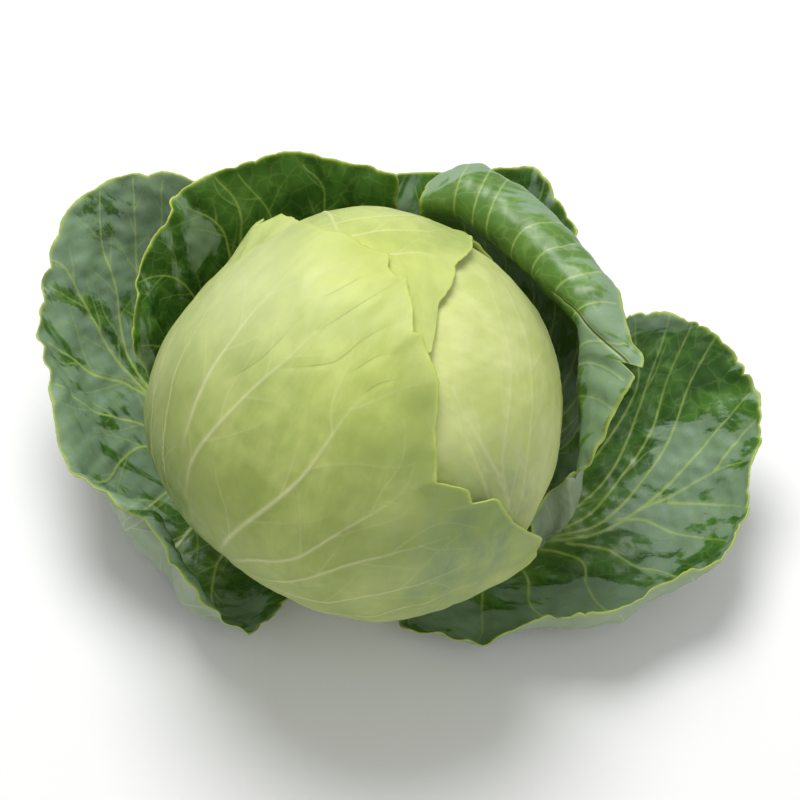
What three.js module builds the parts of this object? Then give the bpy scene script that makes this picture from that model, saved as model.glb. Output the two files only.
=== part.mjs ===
// A head of cabbage standing on its cut stem: the dense heart, two wrapper leaves over it and
// five open outer leaves. Millimetres, +Z up, origin at the centre of the stem's cut face.
import * as THREE from 'three';

// Heart and wrapper leaves
const HEAD_CENTRE_Z = 104;      // height of the middle of the head
const HEAD_RADIUS = 90;         // horizontal, over the wrapper leaves
const HEAD_HALF_HEIGHT = 83;    // vertical, over the wrapper leaves
const HEART_INSET = 4.6;        // heart's surface below the front wrapper's outer face
const WRAPPER_THICK = 1.3;      // at the middle of a wrapper leaf
const WRAPPER_EDGE = 0.8;       // at its margin
const WRAPPER_CENTRE_SHARE = 0.7;  // share of the radius with the full thickness
const TOP_WRAPPER_INSET = 2.1;  // top wrapper's outer face below the front wrapper's

// pressed sides of the head: azimuth, elevation and half width in degrees, depth in mm
const HEAD_FLATS = [
  { azimuth: 142, elevation: 26, width: 50, depth: 6 },
  { azimuth: 226, elevation: -30, width: 50, depth: 7 },
  { azimuth: 40, elevation: 40, width: 50, depth: 2 },
];
// the heart alone is pressed in further on its bare right side
const HEART_FLATS = [{ azimuth: -5, elevation: -5, width: 45, depth: 2.5 }];

// Wrapper leaves: outline as [bearing, reach] in degrees round the leaf's middle; a bearing of
// 0 points to higher azimuth, 90 up. Lifts raise a stretch of margin off the head, in mm.
const FRONT_WRAPPER = {
  azimuth: 235,
  elevation: 15,
  inset: 0,
  outline: [
    [0, 81], [6, 75], [16, 70], [18, 63], [23, 62], [25, 59], [28, 55], [42, 60], [53, 67],
    [65, 72], [78, 80], [91, 86], [101, 86], [112, 88], [122, 94], [132, 100], [140, 98],
    [150, 96], [165, 100], [180, 105], [200, 110], [225, 110], [245, 105], [255, 96],
    [262, 91], [270, 90], [278, 91], [286, 92], [295, 84], [305, 76], [315, 71], [325, 71],
    [332, 78], [338, 85], [345, 91], [354, 88],
  ],
  lifts: [
    { bearing: 348, width: 22, height: 4 },
    { bearing: 20, width: 30, height: 2 },
    { bearing: 60, width: 30, height: 1.5 },
    { bearing: 141, width: 14, height: 6 },
  ],
};
const TOP_WRAPPER = {
  azimuth: 100,
  elevation: 35,
  inset: TOP_WRAPPER_INSET,
  outline: [
    [10, 84], [30, 82], [50, 76], [70, 74], [90, 76], [100, 82], [106, 80], [113, 66],
    [120, 61], [128, 53], [143, 48], [158, 42], [170, 38], [185, 45], [200, 60], [212, 76],
    [225, 90], [240, 103], [255, 109], [270, 110], [285, 109], [300, 100], [315, 94],
    [330, 90], [350, 86],
  ],
  lifts: [{ bearing: 150, width: 40, height: 1.5 }],
};

// Stem
const STEM_FOOT_RADIUS = 18;
const STEM_RADIUS = 19;
const STEM_SHOULDER_Z = 15;
const STEM_NECK_RADIUS = 15;
const STEM_NECK_Z = 20.5;
const STEM_TOP_RADIUS = 11;
const STEM_TOP_Z = 24.6;
const STEM_CHAMFER = 1.5;

// Outer leaves
const LEAF_BASE_RADIUS = 20.5;  // where a leaf leaves the stem
const LOWER_BASE_Z = 7;         // upper face of the three lowest leaves at the stem
const UPPER_BASE_Z = 13;        // upper face of the two leaves above them
const LEAF_THICK = 1.6;         // blade at the stem
const LEAF_EDGE = 0.8;          // blade at the margin
const MIDRIB_WIDTH = 7;         // half width of the midrib at the stem
const TURN = 0.8;               // share of a ray below the turned-out rim
const RIM_SWEEP_POWER = 1.5;
const RUFFLE_FROM = 0.55;       // share of a ray where the margin's waves begin
const PATH_STEPS = 60;

// Rays run from the stem to the margin: azimuth at the stem and at the margin (degrees), length
// (mm), slopes at the leaf's stations (degrees), then optionally the length of the turned-out
// rim (mm) and how far it sweeps sideways (degrees). They are listed by rising azimuth.
const STATIONS = [0, 0.25, 0.5, 0.75, 0.9, 1];
const RIM_STATIONS = [0, 0.2, 0.4, 0.6, 0.8, 0.84, 0.88, 0.93, 1];

const RIGHT_LEAF = {
  name: 'outer_leaf_right',
  baseZ: LOWER_BASE_Z,
  stations: STATIONS,
  midrib: { at: 0.6, height: 4 },
  waves: [{ height: 2.5, count: 5, phase: 0.1 }],
  rays: [
    [-40, -73, 35, [0, 5, 10, 18, 30, 45]],
    [-35, -53, 60, [0, 5, 10, 22, 45, 60]],
    [-30, -41, 84, [0, 5, 12, 30, 60, 85]],
    [-25, -32, 103, [0, 5, 12, 28, 68, 95]],
    [-20, -25, 126, [0, 4, 10, 25, 65, 95]],
    [-10, -12, 147, [0, 3, 8, 20, 50, 75]],
    [0, 3, 162, [0, 3, 8, 20, 45, 60]],
    [8, 13, 173, [0, 5, 14, 30, 40, 45]],
    [14, 23, 171, [0, 8, 20, 36, 42, 40]],
    [20, 28, 160, [0, 13, 30, 40, 42, 40]],
    [26, 32, 135, [5, 20, 40, 48, 48, 45]],
  ],
};
const LEFT_LEAF = {
  name: 'outer_leaf_left',
  baseZ: LOWER_BASE_Z,
  stations: STATIONS,
  midrib: { at: 0.36, height: 4 },
  waves: [{ height: 2.5, count: 5, phase: 0.6 }],
  rays: [
    [116, 113, 130, [5, 18, 42, 65, 68, 62]],
    [125, 122, 178, [5, 18, 42, 65, 68, 62]],
    [134, 130, 191, [5, 15, 38, 58, 60, 52]],
    [143, 139, 192, [5, 12, 30, 50, 52, 45]],
    [154, 150, 172, [0, 10, 26, 46, 48, 40]],
    [166, 162, 148, [0, 8, 24, 46, 50, 40]],
    [178, 175, 131, [0, 6, 22, 50, 55, 10]],
    [188, 188, 131, [0, 5, 14, 92, 80, -20]],
    [198, 198, 118, [0, 5, 22, 108, 70, -30]],
    [206, 214, 107, [0, 5, 16, 92, 85, 30]],
    [214, 229, 59, [0, 5, 10, 25, 45, 60]],
  ],
};
const FAR_LEAF = {
  name: 'outer_leaf_far_back_right',
  baseZ: LOWER_BASE_Z,
  stations: STATIONS,
  midrib: { at: 0.55, height: 4 },
  waves: [{ height: 2, count: 4, phase: 0.3 }],
  rays: [
    [36, 34, 141, [5, 18, 46, 66, 66, 60]],
    [44, 43, 155, [5, 18, 44, 64, 64, 55]],
    [52, 52, 169, [5, 18, 42, 62, 62, 52]],
    [60, 60, 180, [5, 18, 42, 62, 62, 52]],
    [74, 72, 168, [5, 18, 43, 64, 64, 55]],
    [88, 90, 160, [5, 16, 38, 58, 60, 52]],
  ],
};
const BACK_LEFT_LEAF = {
  name: 'outer_leaf_back_left',
  baseZ: UPPER_BASE_Z,
  stations: STATIONS,
  midrib: { at: 0.5, height: 2.5 },
  waves: [{ height: 2, count: 4, phase: 0.8 }],
  rays: [
    [90, 82, 166, [5, 26, 60, 82, 85, 80]],
    [104, 101, 177, [5, 26, 60, 82, 80, 70]],
    [115, 116, 179, [5, 26, 60, 80, 75, 65]],
    [125, 129, 176, [5, 27, 60, 78, 72, 60]],
    [135, 140, 166, [5, 28, 60, 78, 72, 60]],
    [145, 151, 152, [5, 28, 58, 76, 71, 60]],
    [155, 160, 134, [5, 24, 52, 74, 70, 60]],
  ],
};
const BACK_RIGHT_LEAF = {
  name: 'outer_leaf_back_right',
  baseZ: UPPER_BASE_Z,
  stations: RIM_STATIONS,
  midrib: { at: 0.6, height: 2.5 },
  waves: [],
  rays: [
    [-27, -15, 94, [3, 5, 8, 58, 106, 106, 106, 106, 106], 6, 0],
    [-20, -8, 107, [3, 5, 10, 62, 106, 106, 106, 104, 102], 10, 0],
    [-14, -10, 127, [5, 9, 24, 72, 100, 100, 97, 90, 78], 10, 0],
    [-8, -8, 144, [6, 16, 38, 72, 98, 90, 75, 50, 30], 14, -4],
    [-2, 6, 163, [8, 30, 52, 72, 86, 55, 35, 25, 20], 19, -11],
    [6, 10, 172, [8, 30, 54, 74, 88, 55, 30, 20, 15], 26, -11],
    [14, 12, 185, [8, 30, 54, 76, 92, 50, 20, 10, 0], 29, -9],
    [22, 15, 197, [8, 30, 54, 78, 98, 55, 15, -5, -20], 24, -5],
    [30, 21, 202, [8, 30, 55, 80, 100, 55, 15, -10, -50], 31, 0],
    [40, 33, 199, [8, 30, 55, 80, 100, 52, 12, -17, -80], 39, 0],
    [50, 46, 201, [8, 30, 55, 80, 100, 52, 12, -17, -80], 42, 0],
    [60, 57, 206, [8, 30, 55, 80, 100, 52, 12, -17, -80], 43, 0],
    [70, 66, 211, [8, 30, 55, 80, 100, 52, 12, -17, -80], 40, 0],
    [80, 75, 205, [8, 30, 55, 80, 98, 52, 12, -17, -80], 22, 0],
  ],
};

// Facets
const LEAF_ACROSS = 24;
const LEAF_ALONG = [0, 0.1, 0.2, 0.3, 0.4, 0.5, 0.6, 0.7, 0.76, 0.8, 0.84, 0.88, 0.94, 1];
const WRAPPER_ROUND = 54;
const WRAPPER_RINGS = 10;
const HEART_ROUND = 40;
const HEART_RINGS = 20;
const STEM_ROUND = 36;

const DEG = Math.PI / 180;

const material = (name, color, roughness) =>
  new THREE.MeshStandardMaterial({ name, color, roughness, metalness: 0 });
const HEART_GREEN = material('heart_leaf', 0xb9cc84, 0.55);
const WRAPPER_GREEN = material('wrapper_leaf', 0xb4c87c, 0.5);
const OUTER_GREEN = material('outer_leaf', 0x55803f, 0.5);
const STEM_CREAM = material('stem', 0xd6dcb4, 0.7);

/** Value at x of the smooth curve through (xs, ys). */
function spline(xs, ys, x) {
  const last = xs.length - 1;
  const gap = (k) => xs[k + 1] - xs[k];
  const rise = (k) => (ys[k + 1] - ys[k]) / gap(k);
  const tangent = (k) => {
    if (k === 0) return rise(0);
    if (k === last) return rise(last - 1);
    return (rise(k) * gap(k - 1) + rise(k - 1) * gap(k)) / (gap(k - 1) + gap(k));
  };
  let i = 0;
  while (i < last - 1 && x >= xs[i + 1]) i += 1;
  const s = (x - xs[i]) / gap(i);
  const s2 = s * s;
  const s3 = s2 * s;
  return (2 * s3 - 3 * s2 + 1) * ys[i] + (s3 - 2 * s2 + s) * gap(i) * tangent(i)
    + (3 * s2 - 2 * s3) * ys[i + 1] + (s3 - s2) * gap(i) * tangent(i + 1);
}

const ease = (low, high, x) => {
  const s = THREE.MathUtils.clamp((x - low) / (high - low), 0, 1);
  return s * s * (3 - 2 * s);
};

const bearing = (azimuth, elevation) => new THREE.Vector3(
  Math.cos(elevation * DEG) * Math.cos(azimuth * DEG),
  Math.cos(elevation * DEG) * Math.sin(azimuth * DEG),
  Math.sin(elevation * DEG),
);

/** Distance from the head's centre to its surface along a unit direction. */
function headReach(direction, flats) {
  const flat = Math.hypot(direction.x, direction.y) / HEAD_RADIUS;
  let reach = 1 / Math.hypot(flat, direction.z / HEAD_HALF_HEIGHT);
  for (const { azimuth, elevation, width, depth } of flats) {
    const away = direction.angleTo(bearing(azimuth, elevation)) / DEG;
    reach -= depth * Math.max(0, 1 - (away / width) ** 2) ** 2;
  }
  return reach;
}

const headPoint = (direction, reach) => direction.clone().multiplyScalar(reach)
  .add(new THREE.Vector3(0, 0, HEAD_CENTRE_Z));

/** Mesh from points and triangles, turned inside out where its volume comes out negative. */
function body(name, points, triangles, surface) {
  let volume = 0;
  for (const [a, b, c] of triangles) {
    volume += points[a].dot(points[b].clone().cross(points[c]));
  }
  const order = volume < 0 ? triangles.map(([a, b, c]) => [a, c, b]) : triangles;
  const geometry = new THREE.BufferGeometry();
  geometry.setAttribute('position', new THREE.Float32BufferAttribute(
    points.flatMap((p) => [p.x, p.y, p.z]), 3));
  geometry.setIndex(order.flat());
  geometry.computeVertexNormals();
  const mesh = new THREE.Mesh(geometry, surface);
  mesh.name = name;
  return mesh;
}

const quad = (a, b, c, d) => [[a, b, c], [a, c, d]];

/** Ribbon of quads between two closed loops of point numbers. */
const band = (loop, other) => loop.flatMap((a, i) => {
  const next = (i + 1) % loop.length;
  return quad(a, loop[next], other[next], other[i]);
});

/** Closed blade between two equally divided faces: rows[i][j] of points. */
function blade(name, upper, lower, surface) {
  const rows = upper.length;
  const columns = upper[0].length;
  const half = rows * columns;
  const points = [...upper.flat(), ...lower.flat()];
  const at = (i, j) => i * columns + j;
  const triangles = [];
  for (let i = 0; i < rows - 1; i += 1) {
    for (let j = 0; j < columns - 1; j += 1) {
      const corners = [at(i, j), at(i + 1, j), at(i + 1, j + 1), at(i, j + 1)];
      const [a, b, c, d] = corners;
      const [e, f, g, h] = corners.map((corner) => corner + half);
      triangles.push(...quad(a, b, c, d), [e, g, f], [e, h, g]);
    }
  }
  const edge = [];
  for (let i = 0; i < rows - 1; i += 1) edge.push(at(i, 0));
  for (let j = 0; j < columns - 1; j += 1) edge.push(at(rows - 1, j));
  for (let i = rows - 1; i > 0; i -= 1) edge.push(at(i, columns - 1));
  for (let j = columns - 1; j > 0; j -= 1) edge.push(at(0, j));
  triangles.push(...band(edge, edge.map((corner) => corner + half)).map(([a, b, c]) => [a, c, b]));
  return body(name, points, triangles, surface);
}

/** One ray of an outer leaf as a list of points of the upper face. */
function rayPoints(leaf, across) {
  const stops = leaf.rays.map((_, k) => k / (leaf.rays.length - 1));
  const value = (pick) => spline(stops, leaf.rays.map(pick), across);
  const baseAzimuth = value((ray) => ray[0]);
  const marginAzimuth = value((ray) => ray[1]);
  const length = value((ray) => ray[2]);
  const rim = value((ray) => ray[4] ?? ray[2] * (1 - TURN));
  const sweep = value((ray) => ray[5] ?? 0);
  const slopes = leaf.stations.map((_, m) => value((ray) => ray[3][m]));
  const path = [[LEAF_BASE_RADIUS, leaf.baseZ]];
  for (let k = 0; k < PATH_STEPS; k += 1) {
    const before = spline(leaf.stations, slopes, k / PATH_STEPS);
    const after = spline(leaf.stations, slopes, (k + 1) / PATH_STEPS);
    const slope = (before + after) / 2 * DEG;
    const pace = (k + 0.5 < TURN * PATH_STEPS ? length : rim / (1 - TURN)) / PATH_STEPS;
    const [r, z] = path[k];
    path.push([r + pace * Math.cos(slope), z + pace * Math.sin(slope)]);
  }
  return LEAF_ALONG.map((t) => {
    const k = Math.min(Math.floor(t * PATH_STEPS), PATH_STEPS - 1);
    const s = t * PATH_STEPS - k;
    const r = THREE.MathUtils.lerp(path[k][0], path[k + 1][0], s);
    const z = THREE.MathUtils.lerp(path[k][1], path[k + 1][1], s);
    const past = Math.max(0, (t - TURN) / (1 - TURN)) ** RIM_SWEEP_POWER;
    const azimuth = baseAzimuth + (marginAzimuth - baseAzimuth) * (1 - (1 - t) ** 2) + sweep * past;
    return new THREE.Vector3(r * Math.cos(azimuth * DEG), r * Math.sin(azimuth * DEG), z);
  });
}

/** Unit normals of the upper face of a grid of points. */
function gridNormals(grid) {
  const rows = grid.length - 1;
  const columns = grid[0].length - 1;
  return grid.map((row, i) => row.map((_, j) => {
    const acrossStep = grid[Math.min(i + 1, rows)][j].clone().sub(grid[Math.max(i - 1, 0)][j]);
    const alongStep = grid[i][Math.min(j + 1, columns)].clone().sub(grid[i][Math.max(j - 1, 0)]);
    return alongStep.cross(acrossStep).normalize();
  }));
}

function outerLeaf(leaf) {
  const across = Array.from({ length: LEAF_ACROSS + 1 }, (_, i) => i / LEAF_ACROSS);
  const smooth = across.map((q) => rayPoints(leaf, q));
  const lean = gridNormals(smooth);
  const upper = smooth.map((row, i) => row.map((point, j) => {
    let wave = 0;
    for (const { height, count, phase } of leaf.waves) {
      wave += height * Math.sin(2 * Math.PI * (count * across[i] + phase));
    }
    return point.clone().addScaledVector(lean[i][j], wave * ease(RUFFLE_FROM, 1, LEAF_ALONG[j]));
  }));
  const normals = gridNormals(upper);
  const lower = upper.map((row, i) => row.map((point, j) => {
    const t = LEAF_ALONG[j];
    const apart = Math.abs(across[i] - leaf.midrib.at) * point.distanceTo(upper[0][j]);
    const ridge = Math.exp(-((apart / MIDRIB_WIDTH) ** 2)) * leaf.midrib.height * (1 - t);
    const thick = THREE.MathUtils.lerp(LEAF_THICK, LEAF_EDGE, t) + ridge;
    return point.clone().addScaledVector(normals[i][j], -thick);
  }));
  return blade(leaf.name, upper, lower, OUTER_GREEN);
}

/** How far the outline reaches from the leaf's middle at a bearing, in degrees. */
function outlineReach(outline, angle) {
  const last = outline[outline.length - 1];
  const ring = [[last[0] - 360, last[1]], ...outline, [outline[0][0] + 360, outline[0][1]]];
  let k = 0;
  while (k < ring.length - 2 && angle >= ring[k + 1][0]) k += 1;
  const [from, to] = [ring[k], ring[k + 1]];
  return THREE.MathUtils.lerp(from[1], to[1], (angle - from[0]) / (to[0] - from[0]));
}

function wrapperLeaf(name, leaf) {
  const middle = bearing(leaf.azimuth, leaf.elevation);
  const east = bearing(leaf.azimuth + 90, 0);
  const north = middle.clone().cross(east);
  const point = (angle, share, depth) => {
    const reach = outlineReach(leaf.outline, angle) * share * DEG;
    const direction = middle.clone().multiplyScalar(Math.cos(reach))
      .addScaledVector(east, Math.sin(reach) * Math.cos(angle * DEG))
      .addScaledVector(north, Math.sin(reach) * Math.sin(angle * DEG));
    let lift = 0;
    for (const { bearing: at, width, height } of leaf.lifts) {
      const apart = Math.abs(((angle - at + 540) % 360) - 180);
      lift += height * Math.max(0, 1 - (apart / width) ** 2) ** 2 * ease(0.85, 1, share);
    }
    return headPoint(direction, headReach(direction, HEAD_FLATS) - leaf.inset - depth + lift);
  };
  const layers = [];
  for (const isInner of [false, true]) {
    for (let ring = 1; ring <= WRAPPER_RINGS; ring += 1) {
      const share = ring / WRAPPER_RINGS;
      const thin = ease(WRAPPER_CENTRE_SHARE, 1, share);
      const depth = isInner ? THREE.MathUtils.lerp(WRAPPER_THICK, WRAPPER_EDGE, thin) : 0;
      layers.push(Array.from({ length: WRAPPER_ROUND },
        (_, k) => point(k * 360 / WRAPPER_ROUND, share, depth)));
    }
  }
  const points = [...layers.flat(), point(0, 0, 0), point(0, 0, WRAPPER_THICK)];
  const loops = layers.map((_, n) =>
    Array.from({ length: WRAPPER_ROUND }, (_unused, k) => n * WRAPPER_ROUND + k));
  const outer = loops.slice(0, WRAPPER_RINGS);
  const inner = loops.slice(WRAPPER_RINGS);
  const fan = (loop, tip) => loop.map((a, k) => [tip, a, loop[(k + 1) % loop.length]]);
  const triangles = fan(outer[0], points.length - 2);
  triangles.push(...fan(inner[0], points.length - 1).map(([a, b, c]) => [a, c, b]));
  for (let n = 0; n < WRAPPER_RINGS - 1; n += 1) {
    triangles.push(...band(outer[n], outer[n + 1]).map(([a, b, c]) => [a, c, b]));
    triangles.push(...band(inner[n], inner[n + 1]));
  }
  triangles.push(...band(outer[WRAPPER_RINGS - 1], inner[WRAPPER_RINGS - 1])
    .map(([a, b, c]) => [a, c, b]));
  return body(name, points, triangles, WRAPPER_GREEN);
}

function heart() {
  const loops = [];
  const points = [];
  const flats = [...HEAD_FLATS, ...HEART_FLATS];
  const place = (direction) => {
    points.push(headPoint(direction, headReach(direction, flats) - HEART_INSET));
    return points.length - 1;
  };
  const top = place(bearing(0, 90));
  const bottom = place(bearing(0, -90));
  for (let ring = 1; ring < HEART_RINGS; ring += 1) {
    const elevation = 90 - ring * 180 / HEART_RINGS;
    loops.push(Array.from({ length: HEART_ROUND },
      (_, k) => place(bearing(k * 360 / HEART_ROUND, elevation))));
  }
  const triangles = [];
  for (let n = 0; n < loops.length - 1; n += 1) triangles.push(...band(loops[n + 1], loops[n]));
  const last = loops[loops.length - 1];
  loops[0].forEach((a, k) => triangles.push([top, a, loops[0][(k + 1) % HEART_ROUND]]));
  last.forEach((a, k) => triangles.push([bottom, last[(k + 1) % HEART_ROUND], a]));
  return body('heart', points, triangles, HEART_GREEN);
}

function stem() {
  const profile = [
    [STEM_FOOT_RADIUS - STEM_CHAMFER, 0],
    [STEM_FOOT_RADIUS, STEM_CHAMFER],
    [STEM_RADIUS, STEM_SHOULDER_Z],
    [STEM_NECK_RADIUS, STEM_NECK_Z],
    [STEM_TOP_RADIUS, STEM_TOP_Z],
  ];
  const points = [new THREE.Vector3(0, 0, 0), new THREE.Vector3(0, 0, STEM_TOP_Z)];
  const loops = profile.map(([r, z]) => Array.from({ length: STEM_ROUND }, (_, k) => {
    const angle = k * 2 * Math.PI / STEM_ROUND;
    points.push(new THREE.Vector3(r * Math.cos(angle), r * Math.sin(angle), z));
    return points.length - 1;
  }));
  const triangles = [];
  for (let n = 0; n < loops.length - 1; n += 1) triangles.push(...band(loops[n], loops[n + 1]));
  const rim = loops[loops.length - 1];
  loops[0].forEach((a, k) => triangles.push([0, loops[0][(k + 1) % STEM_ROUND], a]));
  rim.forEach((a, k) => triangles.push([1, a, rim[(k + 1) % STEM_ROUND]]));
  return body('stem', points, triangles, STEM_CREAM);
}

const cabbage = new THREE.Group();
cabbage.name = 'cabbage_head';
cabbage.add(
  stem(),
  heart(),
  wrapperLeaf('wrapper_leaf_front', FRONT_WRAPPER),
  wrapperLeaf('wrapper_leaf_top', TOP_WRAPPER),
  outerLeaf(LEFT_LEAF),
  outerLeaf(BACK_LEFT_LEAF),
  outerLeaf(BACK_RIGHT_LEAF),
  outerLeaf(FAR_LEAF),
  outerLeaf(RIGHT_LEAF),
);

export default cabbage;
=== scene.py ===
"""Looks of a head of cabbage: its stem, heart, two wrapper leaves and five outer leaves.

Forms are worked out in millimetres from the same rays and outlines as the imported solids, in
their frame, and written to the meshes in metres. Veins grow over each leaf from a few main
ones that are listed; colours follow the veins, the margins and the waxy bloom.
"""

import math

import bpy
import numpy as np
from mathutils import Matrix, Vector, kdtree


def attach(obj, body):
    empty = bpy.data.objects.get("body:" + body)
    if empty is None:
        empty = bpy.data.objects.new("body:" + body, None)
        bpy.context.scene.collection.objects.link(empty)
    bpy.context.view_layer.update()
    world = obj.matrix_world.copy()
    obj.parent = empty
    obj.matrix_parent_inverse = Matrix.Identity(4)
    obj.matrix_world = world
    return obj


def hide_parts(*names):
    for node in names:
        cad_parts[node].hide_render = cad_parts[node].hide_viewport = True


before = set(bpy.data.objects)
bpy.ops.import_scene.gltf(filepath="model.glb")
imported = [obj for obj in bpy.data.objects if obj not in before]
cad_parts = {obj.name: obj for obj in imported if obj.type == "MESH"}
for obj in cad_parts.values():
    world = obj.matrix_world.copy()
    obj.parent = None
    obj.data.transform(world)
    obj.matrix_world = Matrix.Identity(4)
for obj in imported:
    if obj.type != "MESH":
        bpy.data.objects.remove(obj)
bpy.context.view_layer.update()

MM = 0.001

# Head: the surface that the wrapper leaves lie on, in mm
HEAD_CENTRE = np.array([0, 0, 104.0])
HEAD_RADIUS = 90
HEAD_HALF_HEIGHT = 83
HEAD_DEGREE = HEAD_RADIUS * np.pi / 180  # mm that a degree takes up on the head
# Flats of the head and the heart as (azimuth, elevation, width, depth)
HEAD_FLATS = [(142, 26, 50, 6), (226, -30, 50, 7), (40, 40, 50, 2)]
HEART_FLATS = [(-5, -5, 45, 2.5)]
HEART_INSET = 4.6
WRAPPER_THICK = 1.3
WRAPPER_EDGE = 0.8
WRAPPER_CENTRE_SHARE = 0.7
WRAPPER_LOWEST = -0.4   # mm that its relief may sink, so that the outer face stays above the inner
INNER_RINGS = 16        # rings of points on a wrapper leaf's inner face

# Stem profile as (radius, height)
STEM_PROFILE = [(16.5, 0), (18, 1.5), (19, 15), (15, 20.5), (11, 24.6)]

# Outer leaves
LEAF_BASE_RADIUS = 20.5
LOWER_BASE_Z = 7
UPPER_BASE_Z = 13
LEAF_THICK = 1.6
LEAF_EDGE = 0.8
MIDRIB_WIDTH = 7
FAN_WIDTH = 80          # mm that a radian of an outer leaf takes up in its streaks
TURN = 0.8              # share of a ray below the turned-out rim
RIM_SWEEP_POWER = 1.5
RUFFLE_FROM = 0.55
STATIONS = [0, 0.25, 0.5, 0.75, 0.9, 1]
RIM_STATIONS = [0, 0.2, 0.4, 0.6, 0.8, 0.84, 0.88, 0.93, 1]
LATTICE = 281           # points each way of the smooth surface that everything is read from
PATH_STEPS = 240

VEIN_STEP = 0.8         # mm between the samples of a vein
LINE_REACH = 1.6        # mm from a vein within which its line may be drawn
MIDRIB_HALF_WIDTHS = (2.2, 0.6)   # at its start and its end, in mm
MAIN_HALF_WIDTHS = (1.15, 0.5)
VEIN_RISE = 0.35        # heights and depths on the upper face of an outer leaf, in mm
HOLLOW_DEPTH = 0.7
CREASE_DEPTH = 0.6
UNDER_MAIN_RISE = 0.6   # and on its lower face
UNDER_SECOND_RISE = 0.35
UNDER_HOLLOW_RISE = 0.8
LEAST_THICK = 0.6

# Rays: azimuth at the stem and the margin, length in mm, slopes at the stations, then
# optionally the rim's length and sideways sweep. Veins are lists of (share across, share
# along); the first is the midrib. Side veins are (gap, angle, reach) of the second and the
# third order. Film is how waxy the leaf is, and patches that are more or less so, as (share
# across, share along, their half widths, amount). The back left and far back right leaves get
# less film, so that they are darker: painted shade.
CURLED_RIM = (8, 30, 55, 80, 100, 52, 12, -17, -80)
RIGHT_LEAF = {
    "piece": "leaf_right", "node": "outer_leaf_right", "seed": 11, "base_z": LOWER_BASE_Z,
    "stations": STATIONS, "midrib": (0.6, 4), "waves": (2.5, 5, 0.1), "grid": (270, 160),
    "scallop": (8, 3.0), "young": 0.05,
    "side": ((70, 14, 40), (26, 30, 8)), "clear": 0.7, "relief": (0.5, 1.0),
    "film": (0.0, [(.32, .65, .22, .35, .13), (.66, .3, .3, .25, -.25), (.85, .5, .2, .3, -.14)]),
    "rays": [
        (-40, -73, 35, (0, 5, 10, 18, 30, 45)),
        (-35, -53, 60, (0, 5, 10, 22, 45, 60)),
        (-30, -41, 84, (0, 5, 12, 30, 60, 85)),
        (-25, -32, 103, (0, 5, 12, 28, 68, 95)),
        (-20, -25, 126, (0, 4, 10, 25, 65, 95)),
        (-10, -12, 147, (0, 3, 8, 20, 50, 75)),
        (0, 3, 162, (0, 3, 8, 20, 45, 60)),
        (8, 13, 173, (0, 5, 14, 30, 40, 45)),
        (14, 23, 171, (0, 8, 20, 36, 42, 40)),
        (20, 28, 160, (0, 13, 30, 40, 42, 40)),
        (26, 32, 135, (5, 20, 40, 48, 48, 45)),
    ],
    "veins": [
        [(.58, .02), (.58, .2), (.58, .41), (.59, .54), (.62, .63), (.63, .71), (.64, .85), (.62, 1)],
        [(.62, .63), (.67, .75), (.70, .85), (.72, .97)],
        [(.59, .40), (.61, .53), (.68, .63), (.74, .75), (.78, .85), (.81, .99)],
        [(.59, .25), (.62, .45), (.71, .58), (.76, .70), (.82, .83), (.87, .99)],
        [(.60, .20), (.66, .42), (.77, .63), (.81, .71), (.86, .82), (.91, .99)],
        [(.63, .18), (.75, .45), (.84, .72), (.91, .85), (.96, .99)],
        [(.66, .16), (.80, .38), (.90, .60), (.97, .82)],
        [(.61, .58), (.60, .65), (.57, .75), (.54, .93)],
        [(.62, .72), (.60, .82), (.57, .97)],
        [(.57, .45), (.55, .57), (.52, .68), (.51, .78), (.47, .97)],
        [(.57, .30), (.53, .50), (.47, .58), (.42, .72), (.37, .95)],
        [(.56, .20), (.47, .38), (.35, .55), (.27, .90)],
        [(.54, .12), (.38, .30), (.22, .50), (.12, .85)],
        [(.64, .85), (.67, .92), (.68, .98)],
    ],
}
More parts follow.
